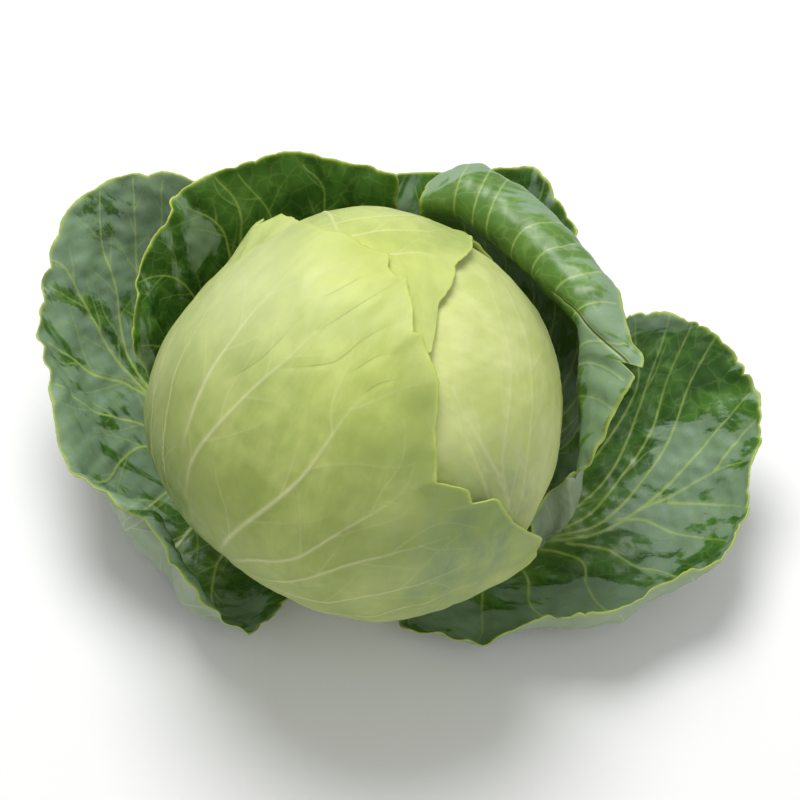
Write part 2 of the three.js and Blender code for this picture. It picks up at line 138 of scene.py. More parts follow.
LEFT_LEAF = {
    "piece": "leaf_left", "node": "outer_leaf_left", "seed": 22, "base_z": LOWER_BASE_Z,
    "stations": STATIONS, "midrib": (0.36, 4), "waves": (2.5, 5, 0.6), "grid": (270, 160),
    "scallop": (24, 4.0), "young": 0.12,
    "side": ((22, 32, 30), (14, 45, 9)), "clear": 1, "relief": (0.5, 1.3),
    "film": (0.05, [(.75, .4, .25, .3, -.1)]),
    "rays": [
        (116, 113, 130, (5, 18, 42, 65, 68, 62)),
        (125, 122, 178, (5, 18, 42, 65, 68, 62)),
        (134, 130, 191, (5, 15, 38, 58, 60, 52)),
        (143, 139, 192, (5, 12, 30, 50, 52, 45)),
        (154, 150, 172, (0, 10, 26, 46, 48, 40)),
        (166, 162, 148, (0, 8, 24, 46, 50, 40)),
        (178, 175, 131, (0, 6, 22, 50, 55, 10)),
        (188, 188, 131, (0, 5, 14, 92, 80, -20)),
        (198, 198, 118, (0, 5, 22, 108, 70, -30)),
        (206, 214, 107, (0, 5, 16, 92, 85, 30)),
        (214, 229, 59, (0, 5, 10, 25, 45, 60)),
    ],
    "veins": [
        [(.36, .02), (.36, .30), (.37, .62), (.37, .72), (.36, .83), (.35, .94), (.36, 1)],
        [(.36, .35), (.36, .50), (.35, .66), (.30, .77), (.28, .88), (.25, .98)],
        [(.34, .20), (.31, .45), (.29, .65), (.25, .78), (.22, .89), (.20, .98)],
        [(.32, .15), (.26, .45), (.22, .70), (.19, .83), (.15, .97)],
        [(.30, .12), (.20, .40), (.13, .70), (.07, .96)],
        [(.37, .55), (.39, .66), (.42, .76), (.43, .86), (.44, .95)],
        [(.37, .35), (.41, .52), (.44, .63), (.48, .78), (.50, .97)],
        [(.38, .28), (.43, .47), (.47, .59), (.53, .69), (.60, .80), (.63, .96)],
        [(.39, .20), (.48, .42), (.58, .58), (.68, .72), (.75, .95)],
        [(.40, .15), (.55, .38), (.68, .50), (.80, .61), (.91, .70), (.95, .85)],
        [(.42, .10), (.60, .25), (.75, .38), (.93, .54)],
    ],
}
FAR_LEAF = {
    "piece": "leaf_far_back_right", "node": "outer_leaf_far_back_right", "seed": 33,
    "base_z": LOWER_BASE_Z, "stations": STATIONS, "midrib": (0.55, 4), "waves": (2, 4, 0.3),
    "grid": (120, 120), "scallop": (12, 2), "young": 0.05,
    "side": ((30, 32, 20), (20, 45, 8)), "clear": 0.7, "relief": (0.5, 1.0),
    # Less film, so the leaf is darker: painted shade.
    "film": (-0.08, []),
    "rays": [
        (36, 34, 141, (5, 18, 46, 66, 66, 60)),
        (44, 43, 155, (5, 18, 44, 64, 64, 55)),
        (52, 52, 169, (5, 18, 42, 62, 62, 52)),
        (60, 60, 180, (5, 18, 42, 62, 62, 52)),
        (74, 72, 168, (5, 18, 43, 64, 64, 55)),
        (88, 90, 160, (5, 16, 38, 58, 60, 52)),
    ],
    "veins": [
        [(.55, .02), (.55, .50), (.53, 1)],
        [(.55, .30), (.46, .60), (.38, .99)],
        [(.52, .20), (.32, .50), (.20, .97)],
        [(.57, .25), (.68, .60), (.74, .98)],
        [(.58, .15), (.78, .50), (.90, .95)],
    ],
}
BACK_LEFT_LEAF = {
    "piece": "leaf_back_left", "node": "outer_leaf_back_left", "seed": 44,
    "base_z": UPPER_BASE_Z, "stations": STATIONS, "midrib": (0.5, 2.5), "waves": (2, 4, 0.8),
    "grid": (150, 150), "scallop": (11, 2), "young": 0.0,
    "side": ((20, 38, 24), (12, 50, 9)), "clear": 0.9, "relief": (0.5, 1.0),
    # Less film, so the leaf is darker: painted shade.
    "film": (-0.16, [(.95, .8, .3, .2, .14)]),
    "rays": [
        (90, 82, 166, (5, 26, 60, 82, 85, 80)),
        (104, 101, 177, (5, 26, 60, 82, 80, 70)),
        (115, 116, 179, (5, 26, 60, 80, 75, 65)),
        (125, 129, 176, (5, 27, 60, 78, 72, 60)),
        (135, 140, 166, (5, 28, 60, 78, 72, 60)),
        (145, 151, 152, (5, 28, 58, 76, 71, 60)),
        (155, 160, 134, (5, 24, 52, 74, 70, 60)),
    ],
    "veins": [
        [(.50, .02), (.48, .30), (.43, .60), (.37, .86), (.41, .98)],
        [(.47, .20), (.32, .55), (.28, .80), (.35, .97)],
        [(.46, .15), (.20, .55), (.15, .87), (.19, .96)],
        [(.46, .45), (.43, .70), (.43, .84), (.51, .95)],
        [(.48, .30), (.56, .60), (.66, .84), (.80, .98)],
        [(.49, .20), (.68, .50), (.83, .75), (.95, .92)],
        [(.47, .12), (.22, .35), (.06, .70)],
    ],
}
BACK_RIGHT_LEAF = {
    "piece": "leaf_back_right", "node": "outer_leaf_back_right", "seed": 55,
    "base_z": UPPER_BASE_Z, "stations": RIM_STATIONS, "midrib": (0.6, 2.5), "waves": None,
    "grid": (235, 185), "scallop": (16, 1.6), "young": 0.55,
    "tears": [(0.415, 2.2, 9)],
    "side": ((90, 20, 12), (30, 40, 6)), "clear": 0.8, "relief": (0.3, 0.45),
    "film": (0.05, [(.75, .81, .3, .06, -.3), (.75, .9, .3, .04, -.08)]),
    "rays": [
        (-27, -15, 94, (3, 5, 8, 58, 106, 106, 106, 106, 106), 6, 0),
        (-20, -8, 107, (3, 5, 10, 62, 106, 106, 106, 104, 102), 10, 0),
        (-14, -10, 127, (5, 9, 24, 72, 100, 100, 97, 90, 78), 10, 0),
        (-8, -8, 144, (6, 16, 38, 72, 98, 90, 75, 50, 30), 14, -4),
        (-2, 6, 163, (8, 30, 52, 72, 86, 55, 35, 25, 20), 19, -11),
        (6, 10, 172, (8, 30, 54, 74, 88, 55, 30, 20, 15), 26, -11),
        (14, 12, 185, (8, 30, 54, 76, 92, 50, 20, 10, 0), 29, -9),
        (22, 15, 197, (8, 30, 54, 78, 98, 55, 15, -5, -20), 24, -5),
        (30, 21, 202, (8, 30, 55, 80, 100, 55, 15, -10, -50), 31, 0),
        (40, 33, 199, CURLED_RIM, 39, 0),
        (50, 46, 201, CURLED_RIM, 42, 0),
        (60, 57, 206, CURLED_RIM, 43, 0),
        (70, 66, 211, CURLED_RIM, 40, 0),
        (80, 75, 205, (8, 30, 55, 80, 98, 52, 12, -17, -80), 22, 0),
    ],
    "veins": [
        [(.60, .02), (.61, .30), (.63, .50), (.66, .80), (.65, .93), (.65, 1)],
        [(.61, .20), (.69, .50), (.72, .82), (.71, .92), (.71, 1)],
        [(.61, .15), (.73, .50), (.77, .82), (.75, .94), (.75, 1)],
        [(.61, .12), (.79, .50), (.83, .80), (.85, .94), (.86, 1)],
        [(.61, .10), (.84, .50), (.87, .83), (.89, .98)],
        [(.61, .08), (.88, .50), (.92, .82), (.93, .97)],
        [(.60, .22), (.57, .50), (.59, .83), (.59, .97)],
        [(.60, .18), (.50, .50), (.47, .88), (.49, .96)],
        [(.59, .15), (.43, .50), (.39, .82), (.37, .97)],
        [(.59, .12), (.35, .50), (.30, .79), (.30, .98)],
        [(.59, .10), (.24, .50), (.18, .84), (.22, .98)],
        [(.59, .08), (.13, .50), (.07, .90)],
    ],
    "crease": [(.67, .81), (.56, .85), (.47, .90), (.42, .97)],
}

# Wrapper leaves: outline as (bearing, reach) in degrees round the leaf's middle, lifts as
# (bearing, width, height), veins in degrees right of and above the middle.
FRONT_WRAPPER = {
    "piece": "wrapper_front", "node": "wrapper_leaf_front", "seed": 66,
    "middle": (235, 15), "inset": 0, "grid": (400, 125), "nibble": (8, 1.0),
    "outline": [
        (0, 81), (6, 75), (16, 70), (18, 63), (23, 62), (25, 59), (28, 55), (42, 60), (53, 67.5),
        (61, 70), (66, 72.5), (67, 70.5), (73, 77), (77, 80), (80, 83.5), (83, 82), (86, 83),
        (89, 88), (94, 86.5), (103, 87.5), (112, 88), (122, 93), (130, 98), (135, 99.5),
        (138, 92), (141, 99), (150, 96), (165, 100), (180, 105), (200, 110), (225, 110),
        (245, 105), (255, 96),
        (262, 91), (270, 90), (278, 91), (286, 92), (295, 84), (305, 76), (315, 71), (325, 71),
        (332, 78), (338, 85), (345, 91), (354, 88),
    ],
    "lifts": [(348, 22, 4), (20, 30, 2), (60, 30, 1.5), (141, 14, 6)],
    "veins": [
        ((1.5, 0.5), [(-20, 8), (-22, 34), (-22, 47), (-22, 58), (-23, 70)]),
        ((1.4, 0.5), [(-16, -4), (-15, 10), (-10, 26), (-3, 44), (-1, 51), (2, 60)]),
        ((1.6, 0.6), [(-6, -20), (2, -3), (15, 19), (21, 41), (27, 49)]),
        ((1.2, 0.5), [(-2, -22), (6, -12), (18, -4), (28, 8), (40, 21), (42, 29)]),
        ((1.0, 0.5), [(4, -24), (13, -18), (30, -3), (44, 4), (56, 8)]),
        ((0.9, 0.4), [(8, -26), (25, -21), (38, -14), (54, -8), (66, -4)]),
        ((0.8, 0.4), [(10, -30), (30, -29), (50, -22), (70, -16)]),
        ((0.6, 0.35), [(-24, -16), (-26, -4), (-32, 15), (-39, 34), (-46, 54)]),
        ((0.5, 0.3), [(-30, -16), (-40, 6), (-52, 28), (-62, 46)]),
    ],
    "creases": [
        (0.4, [(1, 56), (5, 64), (10, 74), (13, 80)]),
        (0.45, [(-2, 43), (9, 49), (12, 53), (14, 58), (18, 64), (23, 69)]),
        (0.35, [(16, 49), (18, 52), (21, 56), (25, 58)]),
        (0.35, [(22, 45), (25, 49), (30, 52)]),
        (0.35, [(-6, 64), (-3, 68), (0, 74), (2, 78)]),
        (0.3, [(-16, 32), (-10, 41), (-8, 49), (-7, 56)]),
    ],
    "dents": [((35, 49), 4, 0.5), ((37, 45), 4, 0.4)],
}
TOP_WRAPPER = {
    "piece": "wrapper_top", "node": "wrapper_leaf_top", "seed": 77,
    "middle": (100, 35), "inset": 2.1, "grid": (330, 100), "nibble": (7, 0.8),
    "outline": [
        (10, 84), (30, 82), (50, 76), (70, 74), (90, 76), (100, 82), (106, 80), (113, 66),
        (120, 61), (128, 53), (143, 48), (158, 42), (170, 38), (185, 45), (200, 60), (212, 76),
        (225, 90), (240, 103), (255, 109), (270, 110), (285, 109), (300, 100), (315, 94),
        (330, 90), (350, 86),
    ],
    "lifts": [(150, 40, 1.5)],
    "veins": [
        ((0.9, 0.5), [(12, 34), (-1, 36), (-16, 30), (-34, 21)]),
        ((0.9, 0.5), [(10, 24), (-2, 25), (-20, 16), (-33, 5)]),
        ((0.8, 0.5), [(6, 44), (-8, 45), (-24, 41), (-32, 42)]),
        ((1.6, 0.6), [(4, -60), (4, -30), (3, 5), (2, 40), (0, 62)]),
        ((1.0, 0.5), [(4, -30), (-20, -5), (-38, 10)]),
        ((1.0, 0.5), [(4, -20), (28, 8), (48, 40)]),
        ((1.0, 0.5), [(4, -45), (38, -25), (68, -5)]),
        ((1.0, 0.5), [(4, -50), (-36, -36), (-66, -20)]),
    ],
    "dents": [((-26, 22), 4, 0.4)],
    "creases": [],
}
HEART = {
    "piece": "heart_leaves", "node": "heart", "seed": 88, "middle": (0, 25), "grid": (300, 110),
    "veins": [
        ((1.9, 0.6), [(-48, -30), (-46, -13), (-44, -3), (-37, 21), (-22, 41), (-2, 58)]),
        ((1.0, 0.5), [(-47, -18), (-46, -11), (-37, 8), (-12, 18), (4, 23), (26, 25), (50, 30)]),
        ((0.9, 0.5), [(-48, -10), (-49, -1), (-44, 14), (-40, 22), (-34, 40)]),
        ((1.0, 0.5), [(-46, -20), (-40, -9), (-24, 4), (0, 12), (26, 17), (60, 20)]),
        ((0.9, 0.5), [(-45, -24), (-20, -16), (10, -8), (40, -4), (70, -4)]),
    ],
}

FLOOR_HALF = 6.0        # m

# Camera of the photograph: it looks down from the front
CAMERA_EYE = (15.77, -520.04, 776.36)
CAMERA_ELEVATION = 52
CAMERA_LENS = 92.18
CAMERA_SENSOR = 36


def spline(xs, ys, x):
    """Values at x of the smooth curve through (xs, ys); ys may have further axes."""
    xs, ys, x = (np.asarray(values, float) for values in (xs, ys, x))
    gap = np.diff(xs)
    rise = np.diff(ys, axis=0) / gap.reshape(-1, *[1] * (ys.ndim - 1))
    tangent = np.empty_like(ys)
    tangent[0], tangent[-1] = rise[0], rise[-1]
    for k in range(1, len(xs) - 1):
        tangent[k] = (rise[k] * gap[k - 1] + rise[k - 1] * gap[k]) / (gap[k - 1] + gap[k])
    i = np.clip(np.searchsorted(xs, x, side="right") - 1, 0, len(xs) - 2)
    wide = (..., *[None] * (ys.ndim - 1))
    s = ((x - xs[i]) / gap[i])[wide]
    step = gap[i][wide]
    s2, s3 = s * s, s * s * s
    return ((2 * s3 - 3 * s2 + 1) * ys[i] + (s3 - 2 * s2 + s) * step * tangent[i]
            + (3 * s2 - 2 * s3) * ys[i + 1] + (s3 - s2) * step * tangent[i + 1])


def ease(low, high, x):
    """0 below low, 1 above high, smooth between."""
    s = np.clip((x - low) / (high - low), 0, 1)
    return s * s * (3 - 2 * s)


def lerp(a, b, s):
    return a + (b - a) * s


def unit(v):
    return v / (np.linalg.norm(v, axis=-1, keepdims=True) + 1e-12)


def bell(x, width):
    """1 at 0, falling smoothly to nearly 0 at twice the width."""
    return np.exp(-(x / width) ** 2)


def arc(points, axis=0):
    """Distance run along a row or a grid of points from its start, along one axis."""
    steps = np.linalg.norm(np.diff(points, axis=axis), axis=-1)
    return np.insert(np.cumsum(steps, axis), 0, 0, axis)


def swell(points, size, rng, waves=14):
    """Smooth noise, mostly within -1 to 1, with bumps about size mm across."""
    total = np.zeros(points.shape[:-1])
    for _ in range(waves):
        way = unit(rng.normal(size=3)) * 2 * np.pi / size * rng.uniform(0.7, 1.4)
        total += np.sin(points @ way + rng.uniform(0, 2 * np.pi))
    return total / math.sqrt(waves)


def wander(s, size, rng):
    """Smooth noise, within -1 to 1, along a line."""
    waves = [(1, 1), (0.57, 0.8), (1.73, 0.5)]
    total = sum(share * np.sin(2 * np.pi * s * pace / size + rng.uniform(0, 2 * np.pi))
                for pace, share in waves)
    return total / sum(share for _, share in waves)


# Surfaces

def leaf_lattice(leaf):
    """Points of an outer leaf's smooth upper face, LATTICE each way: across, then along."""
    rays = leaf["rays"]
    rows = [(base, tip, length, *(rest or (length * (1 - TURN), 0)), *slopes)
            for base, tip, length, slopes, *rest in rays]
    across = np.linspace(0, 1, LATTICE)
    fields = spline(np.linspace(0, 1, len(rays)), rows, across)
    base, tip, length, rim, sweep = fields[:, :5].T[:, :, None]
    steps = np.linspace(0, 1, PATH_STEPS + 1)
    slopes = np.radians(spline(leaf["stations"], fields[:, 5:].T, steps).T)
    middle = (slopes[:, 1:] + slopes[:, :-1]) / 2
    pace = np.where((steps[1:] + steps[:-1]) / 2 < TURN, length, rim / (1 - TURN)) / PATH_STEPS
    out, up = (np.insert(np.cumsum(pace * part, 1), 0, 0, 1)
               for part in (np.cos(middle), np.sin(middle)))
    along = np.linspace(0, 1, LATTICE)
    r = np.stack([np.interp(along, steps, LEAF_BASE_RADIUS + row) for row in out])
    z = np.stack([np.interp(along, steps, leaf["base_z"] + row) for row in up])
    past = np.maximum(0, (along - TURN) / (1 - TURN)) ** RIM_SWEEP_POWER
    azimuth = np.radians(base + (tip - base) * (1 - (1 - along) ** 2) + sweep * past)
    points = np.stack([r * np.cos(azimuth), r * np.sin(azimuth), z], -1)
    if leaf["waves"]:
        height, count, phase = leaf["waves"]
        wave = height * np.sin(2 * np.pi * (count * across + phase))
        rise = wave[:, None] * ease(RUFFLE_FROM, 1, along)
        points = points + grid_normals(points) * rise[..., None]
    return points


def grid_normals(points):
    """Unit normals of the upper face of a grid: across, then along."""
    return unit(np.cross(np.gradient(points, axis=1), np.gradient(points, axis=0)))


def read_lattice(lattice, q, t):
    """Smoothly interpolated points of a lattice at shares q across and t along."""
    last = LATTICE - 1
    x, y = np.clip(q, 0, 1) * last, np.clip(t, 0, 1) * last
    i, j = (np.minimum(v.astype(int), last - 1) for v in (x, y))

    def weights(s):
        return [(-s + 2 * s**2 - s**3) / 2, (2 - 5 * s**2 + 3 * s**3) / 2,
                (s + 4 * s**2 - 3 * s**3) / 2, (s**3 - s**2) / 2]

    total = 0
    for a, across in enumerate(weights(x - i)):
        for b, along in enumerate(weights(y - j)):
            corner = lattice[np.clip(i + a - 1, 0, last), np.clip(j + b - 1, 0, last)]
            total = total + corner * (across * along)[..., None]
    return total


def bearing(azimuth, elevation):
    a, e = np.radians(azimuth), np.radians(elevation)
    return np.array([np.cos(e) * np.cos(a), np.cos(e) * np.sin(a), np.sin(e)])


def head_reach(direction, flats):
    """Distance from the head's centre to its surface along unit directions."""
    wide = np.hypot(direction[..., 0], direction[..., 1]) / HEAD_RADIUS
    reach = 1 / np.hypot(wide, direction[..., 2] / HEAD_HALF_HEIGHT)
    for azimuth, elevation, width, depth in flats:
        away = np.degrees(np.arccos(np.clip(direction @ bearing(azimuth, elevation), -1, 1)))
        reach = reach - depth * np.maximum(0, 1 - (away / width) ** 2) ** 2
    return reach


def head_direction(middle, x, y):
    """Unit direction x degrees to higher azimuth of and y degrees above a middle direction."""
    centre = bearing(*middle)
    east = bearing(middle[0] + 90, 0)
    north = np.cross(centre, east)
    reach = np.radians(np.hypot(x, y))[..., None]
    turn = np.arctan2(y, x)[..., None]
    return (np.cos(reach) * centre
            + np.sin(reach) * (np.cos(turn) * east + np.sin(turn) * north))


def outline_reach(leaf, angle):
    """How far a wrapper leaf's outline reaches at bearings in degrees."""
    at, reach = np.array(leaf["outline"], float).T
    return np.interp(angle % 360, at, reach, period=360)


def wrapper_point(leaf, x, y, depth=0.0):
    """Point of a wrapper leaf x, y degrees from its middle, depth mm below its outer face."""
    angle = np.degrees(np.arctan2(y, x)) % 360
    share = np.hypot(x, y) / outline_reach(leaf, angle)
    lift = 0
    for at, width, height in leaf["lifts"]:
        apart = np.abs((angle - at + 540) % 360 - 180)
        lift = lift + height * np.maximum(0, 1 - (apart / width) ** 2) ** 2 * ease(0.85, 1, share)
    direction = head_direction(leaf["middle"], x, y)
    reach = head_reach(direction, HEAD_FLATS) - leaf["inset"] - depth + lift
    return HEAD_CENTRE + direction * reach[..., None]


def heart_point(x, y):
    """Point of the heart's surface x, y degrees from its middle."""
    direction = head_direction(HEART["middle"], x, y)
    reach = head_reach(direction, HEAD_FLATS + HEART_FLATS) - HEART_INSET
    return HEAD_CENTRE + direction * reach[..., None]


# Veins: each is {"at": places on the surface, "xyz": points in mm, "wide": half widths in mm,
# "strength": how strongly it shows, 0 to 1}

def hand_vein(surface, stops, wide, fine, fades=(0, 0)):
    """Vein along a smooth curve through given places, narrowing from wide to fine and
    fading by the given shares towards its start and its end."""
    places = np.linspace(0, 1, len(stops))
    dense = np.linspace(0, 1, 300)
    at = spline(places, stops, dense)
    run = arc(surface(*at.T))
    count = int(run[-1] / VEIN_STEP) + 2
    share = np.linspace(0, 1, count)
    at = spline(places, stops, np.interp(share * run[-1], run, dense))
    strength = (1 - fades[0] * (1 - ease(0, 0.25, share))) * (1 - fades[1] * ease(0.5, 1, share))
    return {"at": at, "xyz": surface(*at.T), "wide": lerp(wide, fine, share ** 0.7),
            "strength": strength}


def nearest(tree, points):
    """Index of the nearest point of a tree, and its distance, for each of points."""
    found = [tree.find(p)[1:] for p in points.tolist()]
    return np.array([f[0] for f in found]), np.array([f[1] for f in found])


def tree_of(points):
    tree = kdtree.KDTree(len(points))
    for k, p in enumerate(points.tolist()):
        tree.insert(p, k)
    tree.balance()
    return tree


def vein_starts(parents, gap, wide, rng):
    """Where side veins leave their parents, as arrays: places, headings, sides, half widths."""
    starts, headings, sides, widths = [], [], [], []
    for parent in parents:
        run = np.arange(len(parent["xyz"])) * VEIN_STEP
        forward = unit(np.gradient(parent["xyz"], axis=0))
        place = gap * rng.uniform(0.5, 1.2)
        side = rng.choice([-1, 1])
        while place < run[-1] - gap * 0.4:
            k = int(place / VEIN_STEP)
            starts.append(parent["at"][k])
            headings.append(forward[k])
            sides.append(side)
            widths.append(min(wide, parent["wide"][k] * 0.8))
            place += gap * rng.uniform(0.35, 0.75)
            side = -side
    return [np.array(values) for values in (starts, headings, sides, widths)]


def side_veins(surface, inside, parents, rng, *, gap, angle, reach, bend, wide, jitter, free, nudge):
    """Veins that leave the parents on alternate sides, bend along them and end at another."""
    at, heading, side, wide = vein_starts(parents, gap, wide, rng)
    count = len(at)
    turn = np.radians(angle * rng.uniform(0.75, 1.25, count)) * side
    limit = reach * rng.uniform(0.45, 1.1, count)
    drift = np.zeros(count)
    alive = np.ones(count, bool)
    blockers = tree_of(np.concatenate([p["xyz"] for p in parents]))
    paths, lengths = [at.copy()], np.zeros(count)
    for step in range(int(reach * 1.1 / VEIN_STEP)):
        a, b = at.T
        da = (surface(a + nudge, b) - surface(a - nudge, b)) / (2 * nudge)
        db = (surface(a, b + nudge) - surface(a, b - nudge)) / (2 * nudge)
        up = unit(np.cross(da, db))
        heading = unit(heading - (heading * up).sum(1, keepdims=True) * up)
        heading = heading * np.cos(turn)[:, None] + np.cross(up, heading) * np.sin(turn)[:, None]
        drift = drift * 0.9 + rng.normal(size=count) * jitter
        turn = np.radians(-side * bend * VEIN_STEP + drift)
        aa, ab, bb = (da * da).sum(1), (da * db).sum(1), (db * db).sum(1)
        ah, bh = (da * heading).sum(1), (db * heading).sum(1)
        det = aa * bb - ab * ab + 1e-12
        move = np.stack([(ah * bb - bh * ab) / det, (bh * aa - ah * ab) / det], 1) * VEIN_STEP
        at = np.where(alive[:, None], at + move, at)
        lengths += alive * VEIN_STEP
        alive &= inside(*at.T) & (lengths < limit)
        if step * VEIN_STEP > free:
            live = np.flatnonzero(alive)
            if len(live):
                _, away = nearest(blockers, surface(*at[live].T))
                alive[live[away < 0.9]] = False
        paths.append(at.copy())
        if not alive.any():
            break
    made = []
    for k in range(count):
        n = int(lengths[k] / VEIN_STEP) + 1
        if n > 3:
            path = np.array([p[k] for p in paths[:n]])
            share = np.linspace(0, 1, n)
            made.append({"at": path, "xyz": surface(*path.T), "wide": wide[k] * (1 - 0.4 * share),
                         "strength": 1 - 0.6 * share})
    return made


def vein_field(points, normals, veins):
    """For each point: how much of it is vein, 0 to 1; its distance from the nearest vein in mm;
    and two fields from which a material draws lines finer than the grid, that distance in half
    widths of the vein, negative on its left, and how strongly the line shows."""
    xyz, wide, strength = (np.concatenate([v[key] for v in veins])
                           for key in ("xyz", "wide", "strength"))
    forward = unit(np.concatenate([np.gradient(v["xyz"], axis=0) for v in veins]))
    flat = points.reshape(-1, 3)
    index, away = nearest(tree_of(xyz), flat)
    offset = flat - xyz[index]
    slide = np.abs((offset * forward[index]).sum(1))
    away = np.sqrt(np.maximum(away**2 - np.minimum(slide, VEIN_STEP) ** 2, 0))
    right = np.cross(forward[index], normals.reshape(-1, 3))
    signed = np.clip(np.copysign(away, (offset * right).sum(1)) / wide[index], -9, 9)
    shows = bell(away, LINE_REACH) * strength[index]
    shown = bell(away, wide[index]) * strength[index]
    shape = points.shape[:-1]
    return (shown.reshape(shape), away.reshape(shape),
            (signed.reshape(shape), shows.reshape(shape)))


def line_fields(**lines):
    """The line fields of vein_field under the names that the materials read."""
    return {name + ending: values for name, pair in lines.items()
            for ending, values in zip(("_off", "_near"), pair)}


# Meshes

def make_piece(spec, points, faces, fields, material):
    """Mesh object that stands for a CAD node: points in mm, faces as arrays of quads or
    triangles, fields as one number or vector a point."""
    mesh = bpy.data.meshes.new(spec["piece"])
    mesh.vertices.add(len(points))
    mesh.vertices.foreach_set("co", (points * MM).astype(np.float32).ravel())
    sizes = np.concatenate([np.full(len(f), f.shape[1]) for f in faces])
    corners = np.concatenate([f.ravel() for f in faces]).astype(np.int32)
    mesh.loops.add(len(corners))
    mesh.loops.foreach_set("vertex_index", corners)
    mesh.polygons.add(len(sizes))
    starts = np.concatenate([[0], np.cumsum(sizes)[:-1]]).astype(np.int32)
    mesh.polygons.foreach_set("loop_start", starts)
    mesh.polygons.foreach_set("use_smooth", np.ones(len(sizes), bool))
    mesh.update(calc_edges=True)
    mesh.validate()
    for name, values in fields.items():
        kind = "FLOAT_VECTOR" if values.ndim == 2 else "FLOAT"
        attribute = mesh.attributes.new(name, kind, "POINT")
        key = "vector" if values.ndim == 2 else "value"
        attribute.data.foreach_set(key, values.astype(np.float32).ravel())
    mesh.materials.append(material)
    piece = bpy.data.objects.new(spec["piece"], mesh)
    bpy.context.scene.collection.objects.link(piece)
    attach(piece, "root")
    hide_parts(spec["node"])
    return piece


def blade_faces(columns, rows):
    """Quads of both faces of a leaf's grid and of the wall round its edge."""
    half = columns * rows
    number = np.arange(half).reshape(columns, rows)
    corners = [number[:-1, :-1], number[:-1, 1:], number[1:, 1:], number[1:, :-1]]
    upper = np.stack(corners, -1).reshape(-1, 4)
    edge = np.concatenate([number[0], number[1:, -1], number[-1, -2::-1], number[-2:0:-1, 0]])
    after = np.roll(edge, -1)
    wall = np.stack([after, edge, edge + half, after + half], 1)
    return [np.concatenate([upper, upper[:, ::-1] + half, wall])]


def margin_cut(s, size, depth, rng):
    """How far a margin falls short of its smooth line, in mm: round lobes, sharp notches."""
    warped = s + size * 0.5 * wander(s, size * 3.5, rng)
    lobe = np.abs(np.sin(np.pi * warped / size)) ** 0.7
    strength = 0.45 + 0.55 * wander(s, size * 4.3, rng)
    fine = 0.18 * (1 + wander(s, 3.1, rng))
    return np.maximum(depth * np.maximum(strength, 0.05) * (1 - lobe) + fine, 0)


def leaf_grid(leaf, surface, rng):
    """Shares across and along of an outer leaf's grid, with its margin cut into lobes."""
    columns, rows = leaf["grid"]
    size, depth = leaf["scallop"]
    q, s = np.meshgrid(np.linspace(0, 1, columns), np.linspace(0, 1, rows), indexing="ij")
    t = s ** 0.85
    points = surface(q, t)
    across, along = arc(points, 0), arc(points, 1)
    margin = across[:, -1]
    cut = margin_cut(margin, size, depth, rng)
    for at, half_width, deep in leaf.get("tears", []):
        place = np.interp(at, np.linspace(0, 1, columns), margin)
        cut = cut + deep * np.maximum(0, 1 - np.abs(margin - place) / half_width)
    t = t * (1 - (cut / along[:, -1])[:, None] * ease(0.8, 1, t))
    for edge, sign in ((0, 1), (-1, -1)):
        side_cut = margin_cut(along[edge], size, depth, rng) * ease(0.2, 0.45, t[edge])
        reach = 1 - ease(0, 0.12, q) if edge == 0 else ease(0.88, 1, q)
        q = q + sign * side_cut / across[-1] * reach
    return q, t


def leaf_veins(leaf, surface, base, normal, rng):
    """The fields, as vein_field gives them, of the three orders of veins of an outer leaf."""

    def inside(q, t):
        return (q > 0.012) & (q < 0.988) & (t > 0.05) & (t < 0.985)

    widths = [MIDRIB_HALF_WIDTHS] + [MAIN_HALF_WIDTHS] * (len(leaf["veins"]) - 1)
    mains = [hand_vein(surface, stops, *pair, fades=(0, 0.4))
             for stops, pair in zip(leaf["veins"], widths)]
    for branch in mains:
        branch["strength"] = branch["strength"] * leaf["clear"]
    (gap, angle, length), (fine_gap, fine_angle, fine_length) = leaf["side"]
    seconds = side_veins(surface, inside, mains, rng, gap=gap, angle=angle, reach=length,
                         bend=0.3, wide=0.6, jitter=0.5, free=3.0, nudge=0.002)
    thirds = side_veins(surface, inside, mains + seconds, rng, gap=fine_gap, angle=fine_angle,
                        reach=fine_length, bend=0.0, wide=0.42, jitter=1.0, free=2.0, nudge=0.002)
    return [vein_field(base, normal, veins) for veins in (mains, seconds, thirds)]


